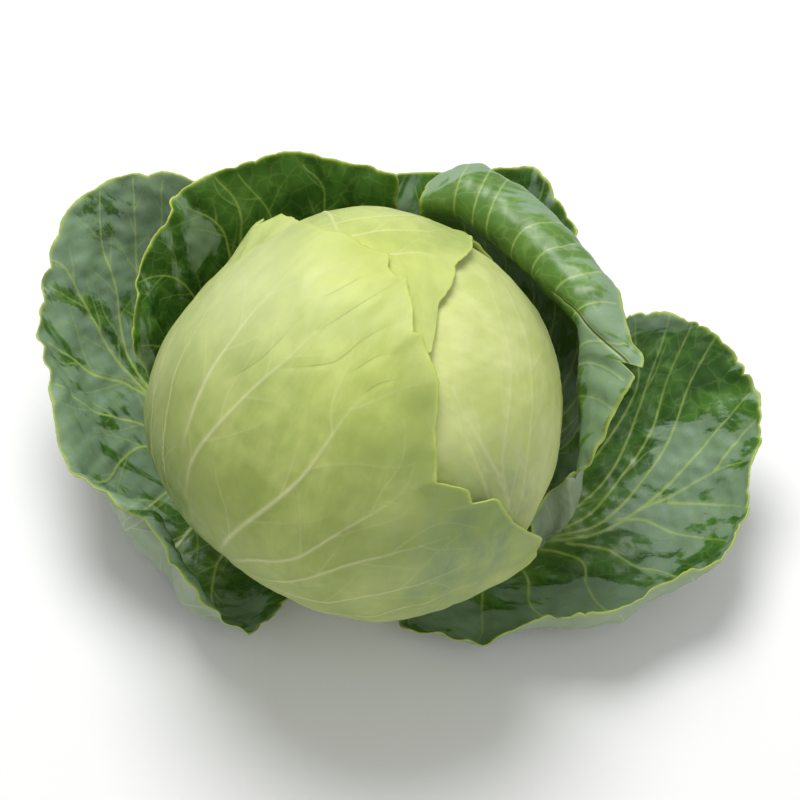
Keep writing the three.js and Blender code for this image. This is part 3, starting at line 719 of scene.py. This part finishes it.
def outer_leaf(leaf, material):
    """An open outer leaf: a veined, puckered blade with a lobed margin and a midrib below."""
    rng = np.random.default_rng(leaf["seed"])
    lattice = leaf_lattice(leaf)

    def surface(q, t):
        return read_lattice(lattice, q, t)

    q, t = leaf_grid(leaf, surface, rng)
    base = surface(q, t)
    normal = grid_normals(base)
    run_across, run_along = arc(base, 0), arc(base, 1)
    margin = np.minimum(run_along[:, -1:] - run_along,
                        np.minimum(run_across, run_across[-1] - run_across))

    orders = leaf_veins(leaf, surface, base, normal, rng)
    (main, second, third), (near_main, near_second, _), order_lines = zip(*orders)
    vein = np.maximum(main, np.maximum(second * 0.75, third * 0.42))
    lines = line_fields(**dict(zip(("main", "second", "third"), order_lines)))

    start = ease(0.12, 0.35, t)
    pucker_height, ruffle_height = leaf["relief"]
    pucker = start * pucker_height * (swell(base, 16, rng) + 0.45 * swell(base, 7, rng))
    ruffle = ruffle_height * np.exp(-margin / 6) * swell(base, 13, rng) * start
    relief = pucker + ruffle
    hollow = np.maximum(bell(near_main, 4), 0.6 * bell(near_second, 2.5))
    crease = np.zeros_like(t)
    if "crease" in leaf:
        fold = hand_vein(surface, leaf["crease"], 0.45, 0.55)
        _, away, fold_line = vein_field(base, normal, [fold])
        crease = bell(away, 1.1)
        lines.update(line_fields(crease=fold_line))
    film = np.full_like(t, leaf["film"][0])
    for at_q, at_t, wide_q, wide_t, amount in leaf["film"][1]:
        film += amount * bell(q - at_q, wide_q) * bell(t - at_t, wide_t)
    upper_rise = relief + start * (VEIN_RISE * vein - HOLLOW_DEPTH * hollow) - CREASE_DEPTH * crease
    midrib_at, midrib_height = leaf["midrib"]
    apart = np.abs(run_across - np.stack([np.interp(midrib_at, q[:, j], run_across[:, j])
                                          for j in range(t.shape[1])])[None])
    ridge = bell(apart, MIDRIB_WIDTH) * midrib_height * (1 - t)
    thick = lerp(LEAF_THICK, LEAF_EDGE, t) + ridge
    under = (UNDER_MAIN_RISE * main + UNDER_SECOND_RISE * second
             + UNDER_HOLLOW_RISE * (hollow - 0.3) * (1 - main))
    lower_rise = np.minimum(relief - thick - start * under, upper_rise - LEAST_THICK)
    upper = base + normal * upper_rise[..., None]
    lower = base + normal * lower_rise[..., None]

    radius = LEAF_BASE_RADIUS + run_along
    fan = (run_across - run_across.mean(0)) / radius
    seed = np.full_like(fan, leaf["seed"])
    flat = np.stack([radius * np.sin(fan), radius * np.cos(fan), seed], -1)
    ways = np.stack([FAN_WIDTH * fan, radius, seed], -1)

    def both(field):
        """A field over the points of both faces."""
        return np.concatenate([field.reshape(-1, *field.shape[2:])] * 2)

    fields = {
        "vein": both(vein), "edge": both(bell(margin, 1.1) * start), "film": both(film),
        **{name: both(values) for name, values in lines.items()},
        "rib": both(bell(near_main, 6) * (1 - ease(0.1, 0.65, t))),
        "young": both(np.full_like(t, leaf["young"])), "ways": both(ways),
        "side": np.repeat([0.0, 1.0], t.size), "flat": both(flat),
    }
    points = np.concatenate([upper.reshape(-1, 3), lower.reshape(-1, 3)])
    return make_piece(leaf, points, blade_faces(*t.shape), fields, material)


def polar_faces(columns, outer_rings, inner_rings=0):
    """Faces of a round blade: its outer face, its rim and its inner face. Without inner rings
    they are one closed face. Points go ring by ring, then the outer and the inner middle."""
    total = outer_rings + inner_rings
    ring = np.arange(total * columns).reshape(total, columns)
    after = np.roll(ring, -1, 1)
    quads = [np.stack([ring[k], ring[k + 1], after[k + 1], after[k]], 1)
             for k in range(outer_rings - 1)]
    last = outer_rings - 1
    if inner_rings:
        quads.append(np.stack([ring[last], ring[-1], after[-1], after[last]], 1))
        quads += [np.stack([ring[k], after[k], after[k + 1], ring[k + 1]], 1)
                  for k in range(outer_rings, total - 1)]
        last = outer_rings
    outer_middle, inner_middle = (np.full(columns, total * columns + k) for k in range(2))
    triangles = [np.stack([outer_middle, ring[0], after[0]], 1),
                 np.stack([inner_middle, after[last], ring[last]], 1)]
    return [np.concatenate(quads), np.concatenate(triangles)]


def head_veins(spec, surface, inside, base, out, rng):
    """Veins of a leaf that lies on the head, as fields over its base points: the main, second
    and third order, and the fields that the material reads."""
    mains = [hand_vein(surface, stops, *widths, fades=(0.8, 0.9))
             for widths, stops in spec["veins"]]
    seconds = side_veins(surface, inside, mains, rng, gap=26, angle=34, reach=42, bend=0.35,
                         wide=0.6, jitter=0.6, free=4.0, nudge=0.2)
    thirds = side_veins(surface, inside, mains + seconds, rng, gap=15, angle=50, reach=15,
                        bend=0.1, wide=0.6, jitter=1.4, free=3.0, nudge=0.2)
    main, _, main_line = vein_field(base, out, mains)
    second, _, second_line = vein_field(base, out, seconds)
    third = vein_field(base, out, thirds)[0]
    vein = np.maximum(main, np.maximum(second * 0.6, third * 0.3))
    return main, second, third, {"vein": vein, **line_fields(main=main_line, second=second_line)}


def head_flat(plane, seed):
    """Places for the textures of a leaf on the head: flattened, in mm, apart for each seed."""
    return np.hstack([plane * HEAD_DEGREE, np.full((len(plane), 1), float(seed))])


def wrapper_leaf(leaf, material):
    """A wrapper leaf: a thin blade on the head, with a torn margin, creases and dents."""
    rng = np.random.default_rng(leaf["seed"])
    columns, rings = leaf["grid"]
    angle = np.arange(columns) * 360 / columns
    size, depth = leaf["nibble"]
    smooth = outline_reach(leaf, angle)
    steps = np.hypot(np.diff(smooth), smooth[1:] * np.radians(360 / columns))
    margin_run = np.concatenate([[0], np.cumsum(steps)]) * HEAD_DEGREE
    seam = ease(0, 12, angle) * (1 - ease(348, 360, angle))
    nibble = margin_cut(margin_run, size, depth, rng) * seam / 1.5

    def surface(x, y, below=0.0):
        return wrapper_point(leaf, x, y, below)

    def inside(x, y):
        return np.hypot(x, y) < outline_reach(leaf, np.degrees(np.arctan2(y, x))) * 0.97

    def spread(share):
        reach = (smooth - nibble * ease(0.8, 1, share)[:, None]) * share[:, None]
        return reach * np.cos(np.radians(angle)), reach * np.sin(np.radians(angle))

    share = (np.arange(rings) + 1) / rings
    x, y = spread(share)
    base = surface(x, y)
    out = unit(base - HEAD_CENTRE)
    main, second, third, drawn = head_veins(leaf, surface, inside, base, out, rng)
    crease = np.zeros_like(x)
    if leaf["creases"]:
        folds = [hand_vein(surface, stops, wide, wide, fades=(0.9, 0.9))
                 for wide, stops in leaf["creases"]]
        _, away, fold_line = vein_field(base, out, folds)
        crease = bell(away, 1.3)
        drawn.update(line_fields(crease=fold_line))
    dent = np.zeros_like(x)
    for (right, above), wide, deep in leaf["dents"]:
        dent += deep * bell(x - right, wide) * bell(y - above, wide)
    margin = (1 - share)[:, None] * smooth * HEAD_DEGREE
    pucker = 0.3 * swell(base, 26, rng) + 0.12 * swell(base, 9, rng)
    ruffle = 0.5 * np.exp(-margin / 4) * (swell(base, 12, rng) + 0.6)
    rise = pucker + ruffle + 0.4 * main + 0.12 * second + 0.05 * third - 0.25 * crease - dent
    rise = np.maximum(rise, WRAPPER_LOWEST)
    outer = base + out * rise[..., None]

    inner_share = np.linspace(0, 1, INNER_RINGS + 1)[1:] ** 0.8
    ix, iy = spread(inner_share)
    thick = lerp(WRAPPER_THICK, WRAPPER_EDGE, ease(WRAPPER_CENTRE_SHARE, 1, inner_share))[:, None]
    under = surface(ix, iy, thick)
    under[-1] += out[-1] * (pucker + ruffle)[-1][:, None]
    zero = np.zeros(1)
    centre = np.concatenate([surface(zero, zero), surface(zero, zero, WRAPPER_THICK)])
    centre[0] += unit(centre[0] - HEAD_CENTRE) * rise[0].mean()
    points = np.concatenate([outer.reshape(-1, 3), under.reshape(-1, 3), centre])

    def join(outer_field, inner_field=0.0):
        """A field over all points: the outer face, the inner face and their two middles."""
        inner_field = np.broadcast_to(inner_field, ix.shape)
        middles = [outer_field[0].mean(), inner_field[0, 0]]
        return np.concatenate([outer_field.ravel(), inner_field.ravel(), middles])

    plane = np.concatenate([np.stack([x.ravel(), y.ravel()], 1),
                            np.stack([ix.ravel(), iy.ravel()], 1), np.zeros((2, 2))])
    on_rim = (inner_share > 0.999)[:, None].astype(float)
    fields = {
        "edge": join(bell(margin, 1.1), on_rim),
        **{name: join(values) for name, values in drawn.items()},
        "side": join(np.zeros_like(x), 1.0), "flat": head_flat(plane, leaf["seed"]),
        **head_tones_and_painted_light(points),
    }
    faces = polar_faces(columns, rings, INNER_RINGS)
    return make_piece(leaf, points, faces, fields, material)


def head_tones_and_painted_light(points):
    """Tone fields over the head: painted shade as a deeper green at its left limb, beside the back
    right leaf, at the lower right of the front and in a dent; waxy bloom at the lower right of the
    front, gold at the torn top, and painted light as a paler upper left and top."""
    direction = unit(points - HEAD_CENTRE)

    def spot(azimuth, elevation, size):
        away = np.degrees(np.arccos(np.clip(direction @ bearing(azimuth, elevation), -1, 1)))
        return bell(away, size)

    return {
        # Painted shade, laid on as a deeper green: the left limb beside the left leaf, the heart
        # beside the back right leaf, the lower right of the front and a dent.
        "deep": np.clip(1.1 * spot(203, -6, 32) + 0.5 * spot(20, 15, 26) + 0.45 * spot(311, 14, 14)
                        + 0.6 * spot(297, 51, 5), 0, 1),
        "bloom": np.clip(spot(300, 4, 28) + 0.4 * spot(265, -25, 20), 0, 1),
        "gold": np.clip(spot(100, 84, 24) + 0.5 * spot(275, 60, 14), 0, 1),
        # Painted light, laid on as a paler coat: the upper left of the head and the top of the heart.
        "pale": np.clip(spot(170, 60, 26) + 0.3 * spot(350, 55, 24), 0, 1),
    }


def heart_leaves(material):
    """The heart's outermost leaves, as one closed body."""
    rng = np.random.default_rng(HEART["seed"])
    columns, rings = HEART["grid"]
    angle = np.arange(columns) * 2 * np.pi / columns
    steps = np.linspace(0, 1, rings + 2)[1:-1]
    reach = 180 * (0.62 * steps + 0.38 * steps ** 3)
    x, y = reach[:, None] * np.cos(angle), reach[:, None] * np.sin(angle)
    base = heart_point(x, y)

    def inside(a, b):
        return np.hypot(a, b) < 110

    out = unit(base - HEAD_CENTRE)
    main, second, _, drawn = head_veins(HEART, heart_point, inside, base, out, rng)
    pucker = 0.3 * swell(base, 24, rng) + 0.1 * swell(base, 8, rng)
    rise = pucker + 0.3 * main + 0.1 * second
    outer = base + out * rise[..., None]
    zero = np.zeros(1)
    centre = np.concatenate([heart_point(zero, zero), heart_point(zero + 179.99, zero)])
    points = np.concatenate([outer.reshape(-1, 3), centre])

    def pad(field):
        """A field over all points: the rings and their two middles."""
        return np.concatenate([field.ravel(), [field[0].mean(), field[-1].mean()]])

    fields = {
        "side": np.zeros(len(points)), **head_tones_and_painted_light(points),
        "flat": head_flat(np.stack([pad(x), pad(y)], 1), HEART["seed"]),
        **{name: pad(values) for name, values in drawn.items()},
    }
    faces = polar_faces(columns, rings)
    return make_piece(HEART, points, faces, fields, material)


def stem(material):
    """The stump, with its rough side and its cut face below."""
    rng = np.random.default_rng(99)
    columns = 96
    radii, heights = np.array(STEM_PROFILE, float).T
    face = np.linspace(0, 1, 12)[1:-1]
    walk = np.linspace(0, len(radii) - 1, 34)
    side_r = np.interp(walk, np.arange(len(radii)), radii)
    side_z = np.interp(walk, np.arange(len(radii)), heights)
    top = np.linspace(1, 0, 6)[1:-1]
    r = np.concatenate([face * radii[0], side_r, top * radii[-1]])
    z = np.concatenate([face * 0, side_z, top * 0 + heights[-1]])
    angle = np.arange(columns) * 2 * np.pi / columns
    ring = np.stack([r[:, None] * np.cos(angle), r[:, None] * np.sin(angle),
                     np.broadcast_to(z[:, None], (len(r), columns))], -1)
    inward = (swell(ring, 7, rng) * 0.35 + swell(ring * (1, 1, 0.2), 4, rng) * 0.25 - 0.5)
    on_side = ease(0, 3, z)[:, None] * ease(0, 4, r)[:, None]
    ring[..., :2] *= 1 + (inward * on_side / np.maximum(r, 1)[:, None])[..., None]
    points = np.concatenate([ring.reshape(-1, 3), [[0, 0, 0], [0, 0, heights[-1]]]])
    faces = [f[:, ::-1] for f in polar_faces(columns, len(r))]
    cut = np.concatenate([np.repeat(1 - ease(0.2, 1.2, z), columns), [1, 0]])
    spec = {"piece": "stem_stump", "node": "stem"}
    return make_piece(spec, points, faces, {"cut": cut}, material)


# Materials

def srgb(red, green, blue):
    """Colour from the usual 0 to 255 values, as linear light."""
    return tuple(((c / 255 + 0.055) / 1.055) ** 2.4 if c > 10 else c / 3294.6
                 for c in (red, green, blue)) + (1.0,)


def new_material(name):
    """A bare node material, and a function that adds a node with its settings and inputs."""
    material = bpy.data.materials.new(name)
    material.use_nodes = True
    tree = material.node_tree
    tree.nodes.clear()

    def add(kind, settings=None, **inputs):
        node = tree.nodes.new("ShaderNode" + kind)
        for key, value in (settings or {}).items():
            setattr(node, key, value)
        for key, value in inputs.items():
            socket = node.inputs[int(key[1:]) if key[0] == "_" else key.replace("_", " ")]
            if isinstance(value, bpy.types.NodeSocket):
                tree.links.new(value, socket)
            else:
                socket.default_value = value
        return node

    return material, add


def shading_tools(add):
    """Short names for the nodes that the materials are made of."""
    def field(name, output="Fac"):
        node = add("Attribute", {"attribute_name": name, "attribute_type": "GEOMETRY"})
        return node.outputs[output]

    def mix(share, first, second):
        node = add("Mix", {"data_type": "RGBA"}, _0=share, _6=first, _7=second)
        return node.outputs[2]

    def sums(how, first, second=0.5, third=0.5):
        return add("Math", {"operation": how}, _0=first, _1=second, _2=third).outputs[0]

    def coat(body, share, most, colour):
        """The body with a colour over it, as strong as share times most."""
        return mix(sums("MULTIPLY", share, most), body, colour)

    def span(value, low, high, to_low=0.0, to_high=1.0):
        node = add("MapRange", {"interpolation_type": "SMOOTHSTEP"}, Value=value,
                   From_Min=low, From_Max=high, To_Min=to_low, To_Max=to_high)
        return node.outputs[0]

    def noise(vector, size, detail=3.0, rough=0.55, distortion=0.0):
        node = add("TexNoise", Vector=vector, Scale=1 / size, Detail=detail, Roughness=rough,
                   Distortion=distortion)
        return node.outputs["Fac"]

    def line(name, inner=0.45, outer=1.2):
        """Thin line along the veins whose fields begin with name."""
        away = sums("ABSOLUTE", field(name + "_off"))
        return sums("MULTIPLY", span(away, inner, outer, 1.0, 0.0), field(name + "_near"))

    return field, mix, sums, coat, span, noise, line


def stretched(add, vector, scale):
    return add("Mapping", Vector=vector, Scale=scale).outputs[0]


def finish(add, body, rough, height, strength, depth, **more):
    """Shader of a material from its colour, roughness and a bump depth metres deep."""
    bump = add("Bump", Strength=strength, Distance=depth, Height=height)
    shader = add("BsdfPrincipled", Base_Color=body, Roughness=rough, Normal=bump.outputs[0],
                 **more)
    add("OutputMaterial", Surface=shader.outputs[0])


def outer_leaf_material():
    """Deep green leaf with a net of veins, a waxy grey-green film in patches and a pale under
    side; young leaves are lighter."""
    material, add = new_material("outer_leaf")
    field, mix, sums, coat, span, noise, line = shading_tools(add)
    flat = field("flat", "Vector")
    vein, edge, rib = field("vein"), field("edge"), field("rib")
    young, side = field("young"), field("side")
    main, second, third = line("main", 0.2, 1.3), line("second"), line("third")
    ways = field("ways", "Vector")
    cloud = noise(stretched(add, flat, (1.0, 0.6, 1.0)), 32, 3.0)
    mottle = noise(flat, 9, 4.0)
    streaks = noise(stretched(add, ways, (1.0, 0.25, 1.0)), 6, 3.0)
    grain = noise(flat, 0.9, 2.0)
    warp = add("TexNoise", Vector=flat, Scale=0.2, Detail=2.0).outputs["Color"]
    bent = add("VectorMath", {"operation": "MULTIPLY_ADD"}, _0=warp, _1=(5, 5, 0), _2=flat)
    cells = add("TexVoronoi", {"feature": "DISTANCE_TO_EDGE"}, Vector=bent.outputs[0], Scale=0.13)
    net = span(cells.outputs["Distance"], 0.0, 0.09, 1.0, 0.0)
    deep = mix(span(streaks, 0.35, 0.65), srgb(44, 84, 26), srgb(72, 116, 42))
    lively = mix(mottle, srgb(82, 124, 44), srgb(120, 154, 72))
    body = mix(young, deep, lively)
    body = coat(body, rib, 0.75, srgb(128, 162, 42))
    patch = noise(stretched(add, flat, (1.0, 0.5, 1.0)), 20, 7.0, 0.62, 0.4)
    patch = sums("ADD", sums("ADD", patch, sums("MULTIPLY", cloud, 0.4)), field("film"))
    film = span(patch, 0.65, 0.71)
    film = sums("MULTIPLY", film, span(rib, 0.0, 0.8, 0.75, 0.1))
    film = sums("MULTIPLY", film, span(net, 0.0, 1.0, 1.0, 0.8))
    body = mix(film, body, mix(grain, srgb(122, 148, 122), srgb(144, 166, 140)))
    pale = mix(young, srgb(158, 184, 98), srgb(190, 206, 140))
    for order, most in ((net, 0.13), (vein, 0.14), (third, 0.2), (second, 0.45)):
        body = coat(body, order, most, pale)
    body = coat(body, main, 0.85, mix(young, srgb(172, 196, 102), pale))
    body = coat(body, line("crease", 1.2, 2.8), 0.6, srgb(178, 196, 120))
    # Painted shade: a near black line in the fold of the crease.
    body = coat(body, line("crease", 0.5, 1.2), 0.9, srgb(30, 48, 16))
    under = mix(mottle, srgb(134, 152, 120), srgb(158, 174, 144))
    under = coat(under, sums("MAXIMUM", main, second), 0.6, srgb(188, 200, 160))
    body = mix(side, body, under)
    body = coat(body, edge, 0.85, srgb(172, 190, 76))
    rough = span(sums("ADD", film, sums("MULTIPLY", grain, 0.2)), 0.0, 0.8, 0.36, 0.58)
    height = sums("ADD", sums("MULTIPLY", mottle, 0.6), sums("MULTIPLY", grain, 0.1))
    finish(add, body, rough, height, 0.3, 0.0006, Subsurface_Weight=0.06,
           Subsurface_Radius=(0.002, 0.003, 0.001), Subsurface_Scale=1.0, Specular_IOR_Level=0.45)
    return material


def head_leaf_material(name, light, dark, veins):
    """Pale firm leaf of the head; wrapper and heart leaves differ in their greens and in how
    clearly their veins show."""
    material, add = new_material(name)
    field, mix, sums, coat, span, noise, line = shading_tools(add)
    flat = field("flat", "Vector")
    vein, edge, side = field("vein"), field("edge"), field("side")
    deep, bloom, gold = field("deep"), field("bloom"), field("gold")
    main, second, crease = (line(order, 0.1, 1.4) for order in ("main", "second", "crease"))
    cloud = noise(flat, 34, 4.0)
    streak = noise(stretched(add, flat, (1.0, 0.4, 1.0)), 7, 5.0, 0.62)
    grain = noise(flat, 0.8, 2.0)
    body = mix(span(sums("ADD", cloud, sums("MULTIPLY", streak, 0.5)), 0.55, 0.95), dark, light)
    # Painted shade: a darker green where the deep field says, broken up by the noise.
    deep = sums("MULTIPLY", deep, span(sums("ADD", cloud, streak), 0.7, 1.3, 0.6, 1.0))
    body = mix(deep, body, srgb(84, 110, 42))
    body = coat(body, gold, 0.5, srgb(198, 208, 92))
    waxy = sums("MULTIPLY", span(streak, 0.15, 0.8), sums("MULTIPLY", bloom, 0.85))
    body = mix(waxy, body, srgb(108, 134, 104))
    # Painted light: a paler coat on the upper left of the head and the top of the heart.
    body = coat(body, field("pale"), 0.6, srgb(198, 206, 154))
    for order, most in ((vein, 0.12), (second, 0.16), (main, veins)):
        body = coat(body, order, most, srgb(214, 214, 164))
    # Painted shade: a darker green along the sunken creases.
    body = coat(body, crease, 0.4, srgb(104, 120, 56))
    body = mix(side, body, srgb(190, 202, 142))
    body = coat(body, edge, 0.75, srgb(190, 204, 96))
    rough = span(sums("ADD", streak, sums("MULTIPLY", grain, 0.2)), 0.3, 1.0, 0.42, 0.6)
    # Where the shade is painted the specular is taken away, so that it stays dark.
    gloss = span(deep, 0.0, 0.9, 0.32, 0.02)
    height = sums("ADD", sums("MULTIPLY", streak, 0.4), sums("MULTIPLY", grain, 0.1))
    finish(add, body, rough, height, 0.25, 0.0005, Subsurface_Weight=0.12,
           Subsurface_Radius=(0.004, 0.005, 0.002), Subsurface_Scale=1.0, Specular_IOR_Level=gloss)
    return material


def stem_material():
    """Fibrous pale bark, and the cut face with its rings."""
    material, add = new_material("stem")
    field, mix, _, coat, span, noise, _ = shading_tools(add)
    place = add("TexCoord").outputs["Object"]
    cut = field("cut")
    mottle = noise(place, 0.004, 5.0)
    fibres = noise(stretched(add, place, (1.0, 1.0, 0.15)), 0.0016, 4.0)
    rings = add("TexWave", {"wave_type": "RINGS", "rings_direction": "Z"}, Vector=place, Scale=70.0,
                Distortion=1.5, Detail=2.0).outputs["Fac"]
    bark = mix(fibres, srgb(176, 190, 132), srgb(218, 222, 178))
    bark = mix(span(mottle, 0.55, 0.8), bark, srgb(160, 146, 104))
    sawn = coat(srgb(232, 228, 196), rings, 0.5, srgb(204, 196, 150))
    sawn = mix(span(mottle, 0.58, 0.85), sawn, srgb(178, 160, 116))
    finish(add, mix(cut, bark, sawn), span(mottle, 0.2, 0.8, 0.55, 0.75), fibres, 0.5, 0.0005)
    return material


# Stage

def studio():
    """Pale floor, soft light from above and behind, and the photograph's camera."""
    scene = bpy.context.scene
    mesh = bpy.data.meshes.new("floor")
    corners = [(x * FLOOR_HALF, y * FLOOR_HALF, 0) for x, y in ((-1, -1), (1, -1), (1, 1), (-1, 1))]
    mesh.from_pydata(corners, [], [(0, 1, 2, 3)])
    floor = bpy.data.objects.new("floor", mesh)
    scene.collection.objects.link(floor)
    material, add = new_material("floor")
    shader = add("BsdfPrincipled", Base_Color=(0.86, 0.86, 0.86, 1), Roughness=0.9)
    add("OutputMaterial", Surface=shader.outputs[0])
    mesh.materials.append(material)

    world = bpy.data.worlds.new("studio")
    world.use_nodes = True
    background = world.node_tree.nodes["Background"]
    background.inputs["Color"].default_value = (1, 1, 1, 1)
    background.inputs["Strength"].default_value = 0.42
    scene.world = world

    head = Vector((0, 0, 0.1))
    for name, place, size, power in (
            ("key", (-0.12, 0.5, 1.32), 0.8, 16.5),
            ("fill", (0.6, -0.9, 1.2), 1.2, 4)):
        light = bpy.data.lights.new(name, "AREA")
        light.shape = "DISK"
        light.size = size
        light.energy = power
        lamp = bpy.data.objects.new(name, light)
        lamp.location = place
        lamp.rotation_euler = (head - Vector(place)).to_track_quat("-Z", "Y").to_euler()
        scene.collection.objects.link(lamp)

    camera = bpy.data.objects.new("camera", bpy.data.cameras.new("camera"))
    camera.data.lens = CAMERA_LENS
    camera.data.sensor_width = CAMERA_SENSOR
    camera.data.clip_start = 0.05
    slope = math.radians(CAMERA_ELEVATION)
    place = Matrix.Translation(Vector(CAMERA_EYE) * MM)
    camera.matrix_world = place @ Matrix.Rotation(math.pi / 2 - slope, 4, "X")
    scene.collection.objects.link(camera)
    scene.camera = camera
    scene.view_settings.view_transform = "Standard"


studio()
stem(stem_material())
heart_leaves(head_leaf_material("heart_leaf", srgb(210, 218, 144), srgb(188, 200, 114), 0.25))
wrapper_green = head_leaf_material("wrapper_leaf", srgb(182, 195, 110), srgb(152, 169, 84), 0.5)
for wrapper in (FRONT_WRAPPER, TOP_WRAPPER):
    wrapper_leaf(wrapper, wrapper_green)
outer_green = outer_leaf_material()
for blade in (LEFT_LEAF, BACK_LEFT_LEAF, BACK_RIGHT_LEAF, FAR_LEAF, RIGHT_LEAF):
    outer_leaf(blade, outer_green)
